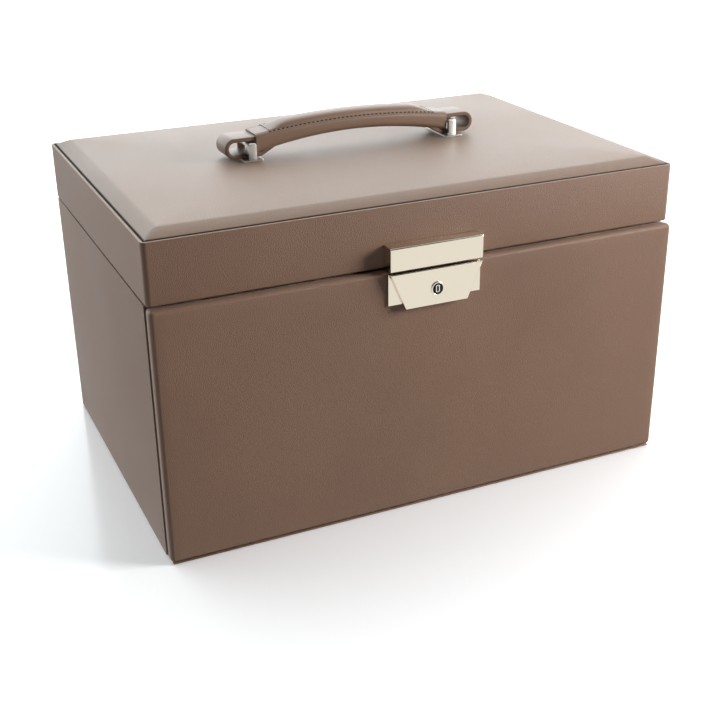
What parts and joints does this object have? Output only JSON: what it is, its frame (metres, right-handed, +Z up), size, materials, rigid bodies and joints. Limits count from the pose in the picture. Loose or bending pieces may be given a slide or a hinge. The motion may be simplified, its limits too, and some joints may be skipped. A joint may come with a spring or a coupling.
{
  "type": "jewellery case",
  "caption": "Leather jewellery case with a padded hinged lid, drop-front flap, key lock, arched top handle and drawers inside.",
  "frame": {"origin": "centre of the underside, below the middle of the lid", "axes": "+X to the right seen from the front, +Y to the back, +Z up; front flap and lock face -Y"},
  "size_m": [0.318, 0.2318, 0.2128],
  "materials": {
    "case_leather": "smooth taupe leather, satin",
    "top_leather": "smooth taupe leather, satin",
    "edge_leather": "cut and turned leather edge, lighter",
    "handle_leather": "smooth taupe leather, satin",
    "drawer_leather": "smooth taupe leather, satin",
    "pull_leather": "smooth leather strap",
    "suede": "suede cloth, matte",
    "board": "raw fibreboard",
    "foam": "soft foam",
    "felt": "felt, matte",
    "mirror": "silvered glass",
    "mirror_frame": "smooth taupe leather, satin",
    "lock_metal": "polished champagne plating",
    "barrel_metal": "black gloss",
    "nickel": "polished nickel plating",
    "steel": "zinc plated, satin"
  },
  "bodies": {
    "carcass": {"base_leather": "case_leather", "base_felt": "felt", "base_board": "board", "side_board_left": "board", "side_board_right": "board", "back_board": "board", "carcass_leather": "case_leather", "carcass_lining": "suede", "tray_floor": "suede", "tray_front_board": "suede", "drawer_divider": "suede", "tray_lining": "suede", "tray_partition": "suede", "tray_cross_partition": "suede", "ring_rolls": "suede", "drawer_front_lower": "drawer_leather", "drawer_box_lower": "board", "drawer_lining_lower": "suede", "drawer_pull_lower": "pull_leather", "drawer_front_upper": "drawer_leather", "drawer_box_upper": "board", "drawer_lining_upper": "suede", "drawer_pull_upper": "pull_leather", "hinge_leaves_carcass": "steel", "hinge_screws_carcass": "steel", "hinge_pins": "steel"},
    "lid": {"lid_board_top": "board", "lid_board_left": "board", "lid_board_right": "board", "lid_board_front": "board", "lid_board_back": "board", "lid_leather": "case_leather", "lid_foam": "foam", "lid_pad_leather": "top_leather", "lid_lining": "suede", "mirror_glass": "mirror", "mirror_frame": "mirror_frame", "hinge_leaves_lid": "steel", "hinge_screws_lid": "steel", "lock_block": "lock_metal", "catch_plate": "steel", "handle_bracket_left": "nickel", "handle_bracket_right": "nickel", "bracket_bolts": "nickel", "bracket_backing_plates": "steel"},
    "flap": {"flap_leather": "case_leather", "flap_foam": "foam", "flap_edge_leather": "edge_leather", "flap_board": "board", "flap_lining": "suede", "lock_plate": "lock_metal", "latch_pin": "steel"},
    "latch": {"lock_lever": "lock_metal", "barrel_ring": "lock_metal"},
    "key_barrel": {"lock_barrel": "barrel_metal", "lock_cam": "steel"},
    "handle": {"handle_grip": "handle_leather", "handle_core": "steel", "handle_loop_left": "handle_leather", "handle_loop_right": "handle_leather"}
  },
  "joints": [
    {"name": "lid_hinge", "type": "hinge", "parent": "carcass", "child": "lid", "pos_m": [0, 0.1113, 0.15], "axis": [-1, 0, 0], "range_deg": [0, 95]},
    {"name": "flap_hinge", "type": "hinge", "parent": "carcass", "child": "flap", "pos_m": [0, -0.1132, 0.0009], "axis": [1, 0, 0], "range_deg": [0, 88]},
    {"name": "lock_lever_hinge", "type": "hinge", "parent": "flap", "child": "latch", "pos_m": [0, -0.1159, 0.1479], "axis": [-1, 0, 0], "range_deg": [0, 60]},
    {"name": "key_turn", "type": "hinge", "parent": "latch", "child": "key_barrel", "pos_m": [0, -0.1172, 0.1373], "axis": [0, 1, 0], "range_deg": [0, 90]},
    {"name": "handle_lift", "type": "slide", "parent": "lid", "child": "handle", "axis": [0, 0, 1], "range_m": [0, 0.0038]}
  ]
}
